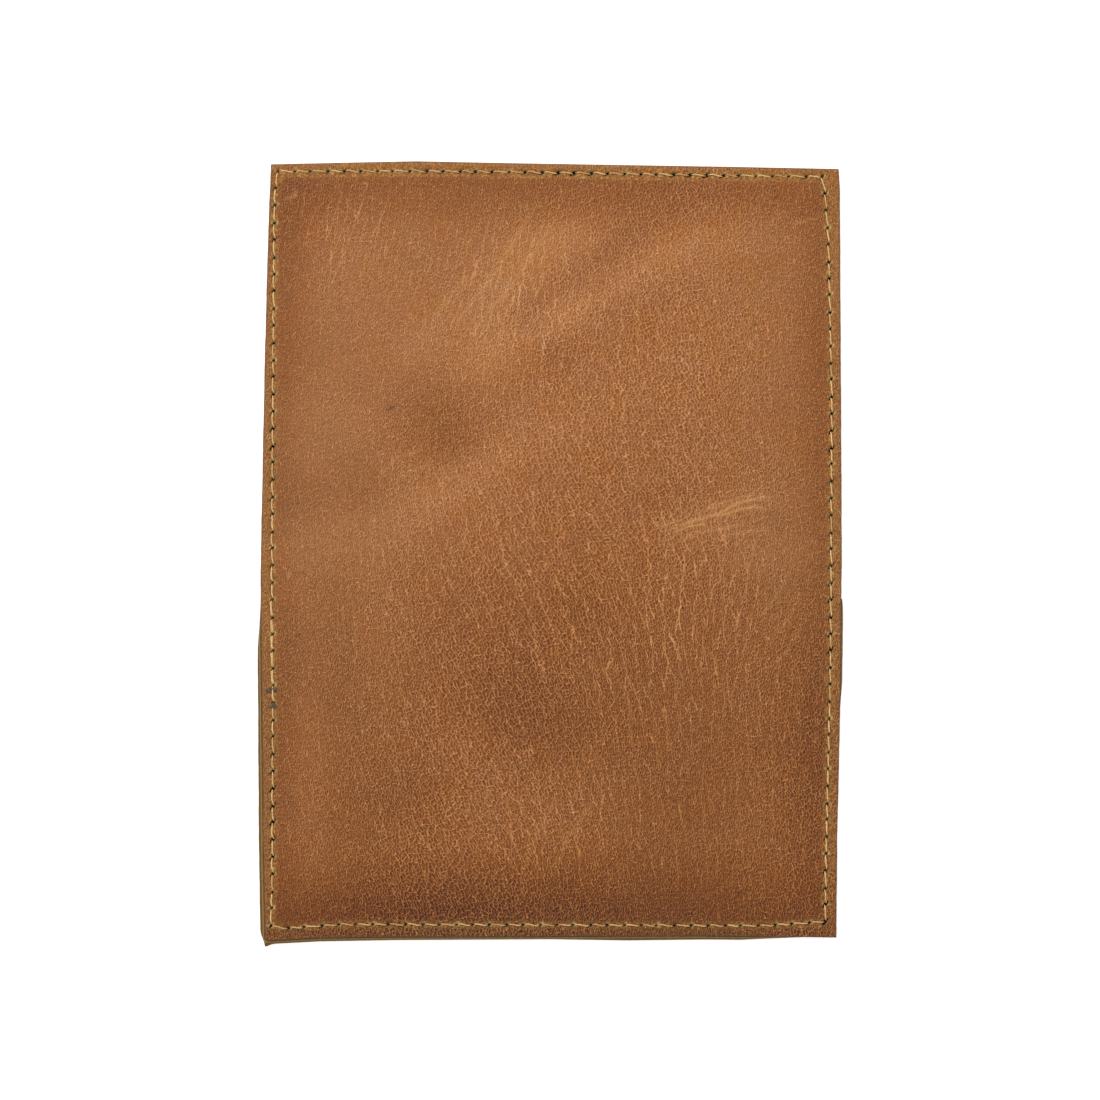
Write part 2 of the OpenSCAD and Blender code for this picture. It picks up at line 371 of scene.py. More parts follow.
def shell_height(x, y, fine=True):
    """Height of the shell's outer face; fine adds its slits, ridges and nicks."""
    inside = seam_distance(x, y)
    z = SHELL_TOP + 0.5 * smooth((inside - 0.3) / 9) ** 0.8
    z -= 0.22 * bell(inside, 0.75)
    z += 0.05 * ripple(x * 0.5 + 0.3 * y, 1.3) * smooth(inside / 12)
    z += 0.07 * ripple(0.35 * y - 0.4 * x, 4.1) * smooth(inside / 12)
    if fine:
        z -= 0.85 * pit_at(x, y)
        z += 0.09 * lip_at(x, y)
        z += ridge_lift(x, y) - NICK_DEPTH * nick_at(x, y)
    rim = np.clip(1 - margin_at(x, y) / 0.8, 0, 1)
    z -= 0.28 * rim * rim
    return z


# -------- sheets of leather
# The widest cells of every sheet.
COARSE_CELL = 3.2


class Grid:
    """A square grid over a rectangle, with smaller cells where the leather has finer shape."""

    def __init__(self, low, high, cell, levels, finest):
        """finest(x, y) gives the cell size wanted at a point."""
        self.low = low
        unit = 2 ** levels
        nx = max(1, round((high[0] - low[0]) / cell))
        ny = max(1, round((high[1] - low[1]) / cell))
        self.step = ((high[0] - low[0]) / nx / unit, (high[1] - low[1]) / ny / unit)
        self.shape = (nx * unit, ny * unit)
        i, j = np.meshgrid(np.arange(nx) * unit, np.arange(ny) * unit, indexing="ij")
        cells = [i.ravel(), j.ravel()]
        done = []
        size = unit
        while size > 0:
            x = low[0] + (cells[0] + size / 2) * self.step[0]
            y = low[1] + (cells[1] + size / 2) * self.step[1]
            split = (finest(x, y) < size * self.step[0] * 0.99) if size > 1 else np.zeros(x.shape, bool)
            done.append(np.stack([cells[0][~split], cells[1][~split], np.full((~split).sum(), size)], 1))
            half = size // 2
            ci, cj = cells[0][split], cells[1][split]
            cells = [np.concatenate([ci, ci + half, ci, ci + half]),
                     np.concatenate([cj, cj, cj + half, cj + half])]
            size = half
        self.cells = np.concatenate(done)
        self._number()

    def _number(self):
        used = np.zeros((self.shape[0] + 1, self.shape[1] + 1), bool)
        for di, dj in ((0, 0), (1, 0), (0, 1), (1, 1)):
            used[self.cells[:, 0] + di * self.cells[:, 2], self.cells[:, 1] + dj * self.cells[:, 2]] = True
        self.index = np.full(used.shape, -1)
        self.index[used] = np.arange(used.sum())
        i, j = np.nonzero(used)
        self.x = self.low[0] + i * self.step[0]
        self.y = self.low[1] + j * self.step[1]

    def faces(self):
        """Every cell as a face, with the corners of its smaller neighbours on its sides."""
        index = self.index
        faces = []
        for i, j, s in self.cells.tolist():
            sides = (index[i:i + s, j], index[i + s, j:j + s], index[i + s:i:-1, j + s], index[i, j + s:j:-1])
            ring = np.concatenate(sides)
            faces.append(ring[ring >= 0].tolist())
        return faces

    def border(self):
        """The corner numbers round the outside, anticlockwise, and their places on the finest grid."""
        n, m = self.shape
        ring = [(i, 0) for i in range(n)] + [(n, j) for j in range(m)]
        ring += [(i, m) for i in range(n, 0, -1)] + [(0, j) for j in range(m, 0, -1)]
        return [(self.index[p], p) for p in ring if self.index[p] >= 0]


def new_mesh(name, verts, faces, materials, face_material=None, attributes=None, sharp=()):
    mesh = bpy.data.meshes.new(name)
    mesh.from_pydata((np.asarray(verts) * MM).tolist(), [], faces)
    for material in materials:
        mesh.materials.append(material)
    mesh.polygons.foreach_set("use_smooth", [True] * len(faces))
    if face_material is not None:
        mesh.polygons.foreach_set("material_index", face_material)
    for key, values in (attributes or {}).items():
        values = np.asarray(values, np.float32)
        if values.ndim == 1:
            mesh.attributes.new(key, "FLOAT", "POINT").data.foreach_set("value", values)
        else:
            mesh.attributes.new(key, "FLOAT_VECTOR", "POINT").data.foreach_set("vector", values.ravel())
    if sharp:
        pairs = {frozenset(p) for p in sharp}
        for edge in mesh.edges:
            if frozenset(edge.vertices) in pairs:
                edge.use_edge_sharp = True
    mesh.update()
    obj = bpy.data.objects.new(name, mesh)
    bpy.context.scene.collection.objects.link(obj)
    return obj


def slab(name, top_grid, under_grid, place, top_z, under_z, rings, materials, attributes):
    """A closed sheet: a fine upper face, a plainer lower face, and a rounded edge between them.

    place maps the flat rectangle to the real outline. rings are (outward, share of the thickness) of the
    edge's points from top to bottom. The two grids share the places of the lower one's border points. A side
    on the spine's middle line, where the next sheet goes on, is flat and keeps the faces' own shading.
    """
    tx, ty = place(top_grid.x, top_grid.y)
    ux, uy = place(under_grid.x, under_grid.y)
    verts = [np.stack([tx, ty, top_z(tx, ty)], 1)]
    faces = top_grid.faces()
    kind = [0] * len(faces)
    top_border = top_grid.border()
    under_border = under_grid.border()
    around = np.array([n for n, p in top_border])
    bx, by = tx[around], ty[around]
    gx = np.roll(bx, -1) - np.roll(bx, 1)
    gy = np.roll(by, -1) - np.roll(by, 1)
    length = np.hypot(gx, gy)
    joined = np.abs(by) < 1e-6
    out_x = np.where(joined, 0, gy / length)
    out_y = np.where(joined, 0, -gx / length)
    high = top_z(bx, by)
    low = under_z(bx, by)
    last = around
    count = len(tx)
    n = len(around)
    extra = []
    for outward, share in rings:
        z = low + (high - low) * share
        extra.append(np.stack([bx + out_x * outward, by + out_y * outward, z], 1))
        here = np.arange(count, count + n)
        for k in range(n):
            q = (k + 1) % n
            faces.append([int(last[k]), int(here[k]), int(here[q]), int(last[q])])
        kind += [1] * n
        last = here
        count += n
    verts += extra
    verts.append(np.stack([ux, uy, under_z(ux, uy)], 1))
    ratio = top_grid.shape[0] // under_grid.shape[0]
    at = {(p[0] * ratio, p[1] * ratio): m for m, p in under_border}
    marks = [(k, at[p]) for k, (m, p) in enumerate(top_border) if p in at]
    sharp = []
    for a in range(len(marks)):
        k0, m0 = marks[a]
        k1, m1 = marks[(a + 1) % len(marks)]
        between = [int(last[k % n]) for k in range(k0, k1 + 1 if k1 > k0 else k1 + n + 1)]
        faces.append([int(count + m0), int(count + m1)] + between[::-1])
        kind.append(1)
        if joined[k0] and joined[k1]:
            sharp.append((int(count + m0), int(count + m1)))
    for face in under_grid.faces():
        faces.append([int(count + v) for v in reversed(face)])
        kind.append(2)
    verts = np.concatenate(verts)
    rim = np.zeros(len(verts))
    rim[len(tx):count] = 1
    under = np.zeros(len(verts))
    under[count:] = 1
    values = {"rim": rim, "under": under}
    for key, function in attributes.items():
        values[key] = function(verts[:, 0], verts[:, 1])
    for ring in [around, last]:
        for k in range(n):
            q = (k + 1) % n
            if joined[k] and joined[q]:
                sharp.append((int(ring[k]), int(ring[q])))
    return new_mesh(name, verts, faces, materials, kind, values, sharp)


# -------- materials
class Material:
    """Short calls for building a material's nodes."""

    def __init__(self, name):
        self.material = bpy.data.materials.new(name)
        self.material.use_nodes = True
        self.tree = self.material.node_tree
        self.shader = self.tree.nodes["Principled BSDF"]

    def add(self, kind, inputs=None, out=0, **settings):
        node = self.tree.nodes.new(kind)
        for key, value in settings.items():
            setattr(node, key, value)
        for key, value in (inputs or {}).items():
            self.feed(node.inputs[key], value)
        return node.outputs[out]

    def feed(self, socket, value):
        if isinstance(value, bpy.types.NodeSocket):
            self.tree.links.new(value, socket)
        else:
            socket.default_value = value

    def math(self, operation, a, b=0.0, c=0.0, clamp=False):
        return self.add("ShaderNodeMath", {0: a, 1: b, 2: c}, operation=operation, use_clamp=clamp)

    def attribute(self, name, vector=False):
        return self.add("ShaderNodeAttribute", out=1 if vector else 2, attribute_name=name)

    def place(self):
        """Object coordinates in millimetres."""
        coordinates = self.add("ShaderNodeTexCoord", out=3)
        return self.add("ShaderNodeVectorMath", {0: coordinates, "Scale": 1 / MM}, operation="SCALE")

    def noise(self, where, scale, detail=2.0, roughness=0.5, out=0):
        inputs = {"Vector": where, "Scale": scale, "Detail": detail, "Roughness": roughness}
        return self.add("ShaderNodeTexNoise", inputs, out=out)

    def ramp(self, value, low, high, to_low=0.0, to_high=1.0, kind="SMOOTHSTEP"):
        inputs = {"Value": value, "From Min": low, "From Max": high, "To Min": to_low, "To Max": to_high}
        return self.add("ShaderNodeMapRange", inputs, interpolation_type=kind)

    def colours(self, value, stops):
        """A colour ramp; stops are (position, colour as sRGB 0 to 255)."""
        node = self.tree.nodes.new("ShaderNodeValToRGB")
        self.feed(node.inputs[0], value)
        elements = node.color_ramp.elements
        while len(elements) < len(stops):
            elements.new(0.5)
        for element, (position, colour) in zip(elements, stops):
            element.position = position
            element.color = (*linear(colour), 1)
        return node.outputs[0]

    def mix(self, factor, a, b, blend="MIX"):
        return self.add("ShaderNodeMix", {0: factor, 6: a, 7: b}, out=2, data_type="RGBA", blend_type=blend)

    def bump(self, height, distance, strength=1.0):
        return self.add("ShaderNodeBump", {"Height": height, "Distance": distance, "Strength": strength})

    def finish(self, colour, roughness, normal, specular=0.35):
        self.feed(self.shader.inputs["Base Color"], colour)
        self.feed(self.shader.inputs["Roughness"], roughness)
        self.feed(self.shader.inputs["Normal"], normal)
        self.shader.inputs["Specular IOR Level"].default_value = specular
        return self.material


def linear(colour):
    """sRGB 0 to 255 as linear 0 to 1."""
    return [c / 255 / 12.92 if c <= 10 else ((c / 255 + 0.055) / 1.055) ** 2.4 for c in colour]


def rgba(colour):
    return (*linear(colour), 1)


# The hide's colours by lightness, 0 to 1 for 0 to 250.
HIDE = [
    (0.10, (44, 14, 0)), (0.24, (99, 47, 0)), (0.30, (111, 57, 2)), (0.34, (121, 65, 12)),
    (0.38, (133, 74, 24)), (0.416, (142, 83, 35)), (0.448, (150, 91, 43)), (0.48, (159, 99, 53)),
    (0.512, (168, 107, 60)), (0.552, (178, 116, 70)), (0.60, (191, 133, 86)), (0.72, (214, 164, 117)),
    (0.9, (238, 198, 154)),
]


def moved_aside(m, where, seed):
    """The same place for each seed, in a part of the pattern of its own."""
    return m.add("ShaderNodeVectorMath", {0: where, 1: (seed * 7.3, seed * 3.1, 0)}, operation="ADD")


def cell_edge(m, where, scale, seed):
    """Distance from the nearest line between the cells of the grain, in shares of a cell."""
    inputs = {"Vector": moved_aside(m, where, seed), "Scale": scale, "Randomness": 1.0}
    return m.add("ShaderNodeTexVoronoi", inputs, voronoi_dimensions="2D", feature="DISTANCE_TO_EDGE")


def cell_middle(m, where, scale, seed):
    """Distance from the nearest cell's own point, in shares of a cell."""
    inputs = {"Vector": moved_aside(m, where, seed), "Scale": scale, "Randomness": 1.0}
    return m.add("ShaderNodeTexVoronoi", inputs, voronoi_dimensions="2D")


def cells(m, where, scale, reach, seed):
    """The cells of the grain: 1 on the lines between them, falling to -0.5 in their middles."""
    return m.ramp(cell_edge(m, where, scale, seed), 0.0, reach, 1.0, -0.5)


def creases(m, where, pitch, lean, sway, seed):
    """Distance, in shares of the pitch, from the nearest of a family of wandering lines along the grain."""
    moved = moved_aside(m, where, seed)
    drift = m.noise(moved, 0.42 / pitch, 3.0, 0.6)
    inputs = {0: moved, 1: (1 / pitch, lean / pitch, 0)}
    across = m.add("ShaderNodeVectorMath", inputs, out=1, operation="DOT_PRODUCT")
    return m.math("PINGPONG", m.math("MULTIPLY_ADD", drift, sway, across), 0.5)


def outer_leather():
    """The smooth side of the hide: grain, creases, worn folds, waxed margin and needle slits."""
    m = Material("outer_leather")
    place = m.place()
    grain = m.attribute("grain", vector=True)
    wander = m.noise(grain, 0.5, 2.0, 0.6, out=1)
    wander = m.add("ShaderNodeVectorMath", {0: wander, 1: (0.5, 0.5, 0.5)}, operation="SUBTRACT")
    where = m.add("ShaderNodeVectorMath", {0: wander, 1: (1.2, 1.2, 0.0), 2: grain}, operation="MULTIPLY_ADD")
    uneven = m.ramp(m.noise(where, 1.3, 2.0, 0.6), 0.36, 0.64, 0.65, 1.15)
    fine = m.ramp(cell_edge(m, where, 1.75, 1), 0.0, 0.17, 1.0, -0.1)
    # Painted shade: a dark copy of the grain's lines, shifted a little to the right and down, stands for the
    # shadow side of each raised line lit from the upper left.
    aside = m.add("ShaderNodeVectorMath", {0: where, 1: (-0.24, 0.08, 0.0)}, operation="ADD")
    shade = m.ramp(cell_edge(m, aside, 1.75, 1), 0.0, 0.18, 1.0, 0.0)
    fine = m.math("MULTIPLY", m.math("MULTIPLY_ADD", shade, -0.55, fine), uneven)
    tiny = m.ramp(cell_edge(m, where, 2.9, 3), 0.0, 0.28, 1.0, -0.4)
    pore = m.ramp(cell_middle(m, where, 1.5, 4), 0.1, 0.34, 1.0, 0.0)
    pore = m.math("MULTIPLY", pore, m.ramp(m.noise(where, 0.8, 2.0, 0.6), 0.45, 0.6))
    short = m.math("MINIMUM", creases(m, where, 1.3, 0.35, 2.2, 7), creases(m, where, 1.6, -0.3, 2.2, 8))
    patchy = m.ramp(m.noise(where, 1.0, 1.0), 0.42, 0.6)
    short = m.math("MULTIPLY", m.ramp(short, 0.02, 0.14, 1.0, 0.0), patchy)
    long = m.math("MINIMUM", creases(m, where, 2.6, 0.3, 2.0, 5), creases(m, where, 3.3, -0.25, 2.0, 6))
    broken = m.ramp(m.noise(grain, 0.4, 2.0), 0.36, 0.5)
    broken = m.math("MULTIPLY", broken, m.attribute("creased"))
    long = m.math("MULTIPLY", m.ramp(long, 0.01, 0.055, 1.0, 0.0), broken)
    patch = m.noise(place, 0.11, 2.0)
    streak = m.noise(grain, 1.5, 3.0, 0.65)
    speck = m.noise(place, 3.1, 2.0, 0.65)
    cloud = m.noise(place, 0.045, 3.0, 0.6)
    strength = m.ramp(patch, 0.3, 0.7, 0.85, 1.15, "LINEAR")
    lines = m.math("MULTIPLY_ADD", pore, -0.35, m.math("MULTIPLY_ADD", short, 0.5, fine))
    lines = m.math("MULTIPLY_ADD", tiny, 0.35, lines)
    lines = m.math("MULTIPLY", lines, m.math("MULTIPLY", strength, m.attribute("relief")))
    lines = m.math("MULTIPLY_ADD", long, 1.25, lines)
    tone = m.attribute("tone")
    tone = m.math("MULTIPLY_ADD", lines, 36.0, tone)
    tone = m.math("MULTIPLY_ADD", m.math("SUBTRACT", streak, 0.5), 12.0, tone)
    tone = m.math("MULTIPLY_ADD", m.math("SUBTRACT", speck, 0.5), 70.0, tone)
    tone = m.math("MULTIPLY_ADD", m.math("SUBTRACT", cloud, 0.5), 8.0, tone)
    tone = m.math("MULTIPLY_ADD", m.attribute("wear"), 12.0, tone)
    base = m.colours(m.math("DIVIDE", tone, 250.0), HIDE)
    flush = m.noise(place, 0.13, 3.0, 0.6)
    warm = m.math("MULTIPLY_ADD", m.math("SUBTRACT", flush, 0.5), 3.0, m.attribute("warmth"))
    red = m.mix(1.0, base, rgba((255, 246, 194)), "MULTIPLY")
    base = m.mix(m.ramp(warm, 0.0, 1.0, 0, 1, "LINEAR"), base, red)
    yellow = m.mix(1.0, base, rgba((244, 250, 255)), "MULTIPLY")
    base = m.mix(m.ramp(warm, 0.0, -1.0, 0, 1, "LINEAR"), base, yellow)
    base = m.mix(m.ramp(lines, 0.2, 1.6, 0.0, 0.42, "LINEAR"), base, rgba((208, 143, 83)))
    base = m.mix(m.math("MULTIPLY", m.attribute("wear"), 0.22), base, rgba((212, 158, 92)))
    # the waxed margin and the ochre stain along the seam
    mottle = m.noise(place, 1.1, 3.0, 0.65)
    stains = [(0.3, (104, 62, 14)), (0.45, (150, 98, 36)), (0.55, (178, 128, 58)), (0.7, (214, 168, 96))]
    ochre = m.colours(m.noise(place, 1.9, 2.0, 0.6), stains)
    halo = m.math("MULTIPLY", m.attribute("halo"), m.ramp(mottle, 0.38, 0.58, 0.1, 1.35), clamp=True)
    base = m.mix(halo, base, ochre)
    # A soft dark patch round each slit.
    dark_patch = m.math("MULTIPLY", m.attribute("dark_patch"), m.ramp(speck, 0.35, 0.65, 0.1, 0.6))
    base = m.mix(dark_patch, base, rgba((78, 42, 8)))
    lip = m.math("MULTIPLY", m.attribute("lip"), m.ramp(speck, 0.3, 0.6, 0.4, 1.2), clamp=True)
    base = m.mix(lip, base, rgba((214, 182, 112)))
    # Painted shade: the needle slits are coloured nearly black, as the inside of each hole lies in shadow.
    base = m.mix(m.ramp(m.attribute("pit"), 0.2, 0.5), base, rgba((18, 7, 0)))
    base = m.mix(m.math("MULTIPLY", m.attribute("nick"), 0.7), base, rgba((84, 52, 34)))
    # Painted shade along the cut edge, where the leather rounds down away from the light.
    edge = m.math("MULTIPLY", m.attribute("edge_shade"), m.ramp(mottle, 0.3, 0.6, 0.5, 0.95))
    base = m.mix(edge, base, rgba((104, 60, 24)))
    base = m.mix(m.attribute("rim"), base, rgba((100, 62, 28)))
    height = m.math("MULTIPLY_ADD", lines, 0.5, m.math("MULTIPLY", streak, 0.3))
    height = m.math("MULTIPLY_ADD", speck, 0.35, height)
    normal = m.bump(height, 0.00016, 0.7)
    rough = m.ramp(m.math("MULTIPLY_ADD", speck, 0.5, cloud), 0.5, 1.0, 0.46, 0.66, "LINEAR")
    return m.finish(base, rough, normal, 0.3)


def cut_edge():
    """The trimmed edge of the hide: pressed fibres with a little stain."""
    m = Material("cut_edge")
    place = m.place()
    stretched = m.add("ShaderNodeVectorMath", {0: place, 1: (1.0, 1.0, 5.0)}, operation="MULTIPLY")
    fibre = m.noise(stretched, 1.8, 4.0, 0.7)
    stain = m.noise(place, 0.25, 3.0)
    colour = m.colours(fibre, [(0.3, (84, 50, 16)), (0.5, (120, 82, 34)), (0.7, (162, 122, 62))])
    colour = m.mix(m.ramp(stain, 0.4, 0.7, 0.0, 0.5), colour, rgba((92, 52, 22)))
    normal = m.bump(fibre, 0.0002, 0.8)
    return m.finish(colour, m.ramp(fibre, 0.3, 0.7, 0.6, 0.8, "LINEAR"), normal, 0.25)


def flesh_side():
    """The suede inner side of the hide, with a painted shadow line and highlight where the pocket stands out
    past the shell.
    """
    m = Material("flesh_side")
    place = m.place()
    nap = m.noise(place, 1.6, 5.0, 0.75)
    lie = m.noise(place, 0.08, 3.0)
    colour = m.colours(nap, [(0.3, (128, 92, 56)), (0.5, (158, 120, 78)), (0.7, (190, 152, 106))])
    colour = m.mix(m.ramp(lie, 0.35, 0.65, 0.0, 0.4), colour, rgba((134, 96, 58)))
    out = m.math("MULTIPLY_ADD", m.math("SUBTRACT", nap, 0.5), 0.5, m.attribute("overhang"))
    # Painted shade and light on the pocket's strip past the shell: a dark shadow line beside the shell's
    # edge, then a pale highlight; the outermost band is the burnished edge's own colour.
    colour = m.mix(m.ramp(out, -0.1, 0.1), colour, rgba((92, 66, 36)))
    colour = m.mix(m.ramp(out, 0.3, 0.5), colour, rgba((152, 126, 76)))
    colour = m.mix(m.ramp(out, 0.65, 0.85), colour, rgba((118, 80, 32)))
    m.shader.inputs["Sheen Weight"].default_value = 0.25
    m.shader.inputs["Sheen Roughness"].default_value = 0.5
    return m.finish(colour, m.ramp(nap, 0.3, 0.7, 0.8, 0.95, "LINEAR"), m.bump(nap, 0.0003, 0.8), 0.15)


def pocket_leather():
    """The pocket's smooth side, which lies on the table."""
    m = Material("pocket_leather")
    place = m.place()
    wander = m.noise(place, 0.4, 2.0, 0.6, out=1)
    where = m.add("ShaderNodeVectorMath", {0: wander, 1: (2.0, 2.0, 0.0), 2: place}, operation="MULTIPLY_ADD")
    fine = cells(m, where, 0.9, 0.25, 4)
    broad = cells(m, where, 0.4, 0.12, 5)
    lines = m.math("MULTIPLY_ADD", broad, 0.6, fine)
    cloud = m.noise(place, 0.04, 4.0, 0.6)
    speck = m.noise(place, 2.6, 2.0, 0.7)
    tone = m.math("MULTIPLY_ADD", lines, 0.07, m.math("MULTIPLY_ADD", cloud, 0.3, 0.22))
    tone = m.math("MULTIPLY_ADD", speck, 0.1, tone)
    base = m.colours(tone, HIDE)
    height = m.math("MULTIPLY_ADD", lines, -0.5, speck)
    return m.finish(base, m.ramp(cloud, 0.3, 0.7, 0.45, 0.6, "LINEAR"), m.bump(height, 0.00015, 0.6), 0.3)


def thread_material(name, dark, middle, pale):
    m = Material(name)
    place = m.place()
    fibre = m.noise(place, 3.5, 3.0, 0.7)
    dark_patch = m.noise(place, 0.22, 3.0)
    colour = m.colours(fibre, [(0.3, dark), (0.5, middle), (0.7, pale)])
    colour = m.mix(m.ramp(dark_patch, 0.45, 0.7, 0.0, 0.5), colour, rgba(dark))
    colour = m.mix(m.attribute("stain"), colour, rgba((162, 116, 62)))
    m.shader.inputs["Sheen Weight"].default_value = 0.1
    return m.finish(colour, m.ramp(fibre, 0.3, 0.7, 0.6, 0.8, "LINEAR"), m.bump(fibre, 0.00008, 0.6), 0.25)


def melted_material():
    m = Material("melted_thread")
    place = m.place()
    grime = m.noise(place, 1.6, 4.0, 0.7)
    colour = m.colours(grime, [(0.3, (44, 36, 26)), (0.5, (76, 64, 46)), (0.7, (118, 100, 70))])
    return m.finish(colour, m.ramp(grime, 0.3, 0.7, 0.35, 0.6, "LINEAR"), m.bump(grime, 0.0001, 0.7), 0.4)


# -------- threads
def tube_rows(path, radius, sides):
    """Rings of points round a path, with frames that don't twist."""
    path = np.asarray(path, float)
    tangent = np.gradient(path, axis=0)
    tangent /= np.linalg.norm(tangent, axis=1)[:, None]
    up = np.array([0.0, 0.0, 1.0])
    side = np.cross(tangent, up)
    flat = np.linalg.norm(side, axis=1)
    side[flat < 1e-3] = (1.0, 0.0, 0.0)
    side /= np.linalg.norm(side, axis=1)[:, None]
    lift = np.cross(side, tangent)
    angle = np.linspace(0, 2 * math.pi, sides, endpoint=False)
    ring = side[:, None, :] * np.cos(angle)[None, :, None] + lift[:, None, :] * np.sin(angle)[None, :, None]
    return path[:, None, :] + ring * np.asarray(radius).reshape(-1, 1, 1)


class Strands:
    """Collects tubes into one mesh."""

    def __init__(self):
        self.verts = []
        self.faces = []
        self.stains = []

    def tube(self, path, radius, sides, stain):
        rows = tube_rows(path, np.broadcast_to(radius, (len(path),)), sides)
        base = len(self.verts)
        self.stains += [stain] * (len(rows) * sides)
        self.verts += rows.reshape(-1, 3).tolist()
        for r in range(len(rows) - 1):
            for k in range(sides):
                q = (k + 1) % sides
                a = base + r * sides
                self.faces.append([a + k, a + q, a + sides + q, a + sides + k])
        self.faces.append([base + k for k in reversed(range(sides))])
        end = base + (len(rows) - 1) * sides
        self.faces.append([end + k for k in range(sides)])

    def plied(self, path, radius, turns, stain=0.0, plies=3, sides=5):
        """A thread of twisted plies along a path; stain is how far wax and dye have darkened it."""
        path = np.asarray(path, float)
        tangent = np.gradient(path, axis=0)
        tangent /= np.linalg.norm(tangent, axis=1)[:, None]
        side = np.cross(tangent, np.array([0.0, 0.0, 1.0]))
        side /= np.maximum(np.linalg.norm(side, axis=1), 1e-6)[:, None]
        lift = np.cross(side, tangent)
        t = np.linspace(0, 2 * math.pi * turns, len(path))
        for p in range(plies):
            a = t + 2 * math.pi * p / plies
            middle = path + (side * np.cos(a)[:, None] + lift * np.sin(a)[:, None]) * radius * 0.46
            self.tube(middle, radius * 0.56, sides, stain)

    def build(self, name, material):
        return new_mesh(name, np.array(self.verts), self.faces, [material], None, {"stain": self.stains})


def stitch_path(a, b, slit, surface, rise, bow, bulge=0.0, offset=0.0, steps=18, dip=0.55):
    """One stitch: out of the far end of slit a, over the leather and down the near end of slit b."""
    reach = 0.55 * SLIT_LONG * np.array([math.cos(slit), math.sin(slit)])
    a = np.array(a, float) + reach
    b = np.array(b, float) - 0.6 * reach
    run = b - a
    length = np.hypot(*run)
    run /= length
    normal = np.array([-run[1], run[0]])
    t = np.linspace(0, 1, steps)
    s = 0.5 - 0.5 * np.cos(math.pi * t)
    wave = bow * np.sin(2 * math.pi * s) + bulge * np.sin(math.pi * s) * (1.3 - 0.6 * s) + offset
    xy = a + run * (s * length)[:, None] + normal * wave[:, None]
    end = np.minimum(s, 1 - s) * length
    climb = smooth(end / 0.7)
    z = surface(xy[:, 0], xy[:, 1]) + rise * climb - dip * np.sign(rise) * (1 - climb)
    return np.column_stack([xy, z])


def seam_stitches(keep):
    """Every stitch whose middle keep() accepts, as (hole, next hole, direction of the slits, number)."""
    rows = []
    sides = ((SEAM_LEFT_HOLES, SIDE_SLANT, 0), (SEAM_RIGHT_HOLES, SIDE_SLANT, 100),
             (SEAM_TOP_HOLES, END_SLANT, 200), (SEAM_BOTTOM_HOLES, END_SLANT, 300))
    for holes, slit, first in sides:
        for k in range(len(holes) - 1):
            a, b = holes[k], holes[k + 1]
            if keep(0.5 * (a[1] + b[1])):
                rows.append((a, b, slit, first + k))
    return rows


def upper_surface(x, y):
    return shell_height(x, y, fine=False)


def needle_thread(name, keep, material):
    strands = Strands()
    for a, b, slit, number in seam_stitches(keep):
        bow = 0.06 + 0.05 * math.sin(number * 1.7)
        bulge = (0.22 if number < 100 else 0.06) * (1 + 0.4 * math.sin(number * 2.9))
        path = stitch_path(a, b, slit, upper_surface, THREAD_R * 0.75, bow, bulge)
        stain = (0.3 if number >= 200 else 0.05) + 0.15 * math.sin(number * 4.3)
        strands.plied(path, THREAD_R, PLY_TURNS, stain)
    return strands.build(name, material)


def bobbin_thread(name, keep, under, material):
    """The lower thread, which lies in the same row of holes on the inner side."""
    strands = Strands()
    for a, b, slit, _number in seam_stitches(keep):
        path = stitch_path(a, b, -slit, under, -THREAD_R * 0.5, 0.0)
        strands.plied(path, THREAD_R, PLY_TURNS)
    return strands.build(name, material)


# -------- the leather pieces
def fit_outline(grid_x, grid_y):
    """From the straight rectangle to the hand-cut outline."""
    share = (grid_x + HALF_X) / (2 * HALF_X)
    x = left_edge(grid_y) * (1 - share) + right_edge(grid_y) * share
    upper = grid_y * top_edge(x) / HALF_Y
    lower = grid_y * -bottom_edge(x) / HALF_Y
    y = np.where(grid_y >= 0, upper, lower)
    return x + 0.05 * ripple(grid_y, 2.0) * np.abs(grid_x) / HALF_X, y


def shell_cell(gx, gy):
    """Cell size wanted on the shell's outer face."""
    x, y = fit_outline(gx, gy)
    size = np.full(x.shape, 0.8)
    inside = np.abs(seam_distance(x, y))
    size[inside < 1.9] = 0.4
    size[margin_at(x, y) < 1.1] = 0.4
    size[ridge_lift(x, y) > 0.012] = 0.4
    size[ridge_lift(x, y) > 0.04] = 0.2
    size[nick_at(x, y) > 0.02] = 0.2
    near = np.nonzero(inside < 1.6)[0]
    dx, dy = nearest_hole(x[near], y[near])[2:]
    size[near[np.hypot(dx, dy) < 1.15]] = 0.2
    return size


def plain_cell(gx, gy):
    """Cell size wanted on the shell's inner face."""
    size = np.full(gx.shape, COARSE_CELL)
    size[np.abs(gy) < MOUTH_Y + 4] = 1.6
    size[np.abs(np.abs(gy) - FOLD_Y) < BEND_REACH + 0.8] = 0.8
    return size


def under_shell(x, y):
    """Height of the shell's inner face, clear of the pocket."""
    return SHELL_UNDER + 0.06 + 0.35 * smooth((seam_distance(x, y) - 0.3) / 9)


def edge_shade_at(x, y):
    """1 at the cut edge, fading out within half a millimetre: painted shade where the edge rounds down away
    from the light.
    """
    return smooth(1.0 - margin_at(x, y) / 0.55)


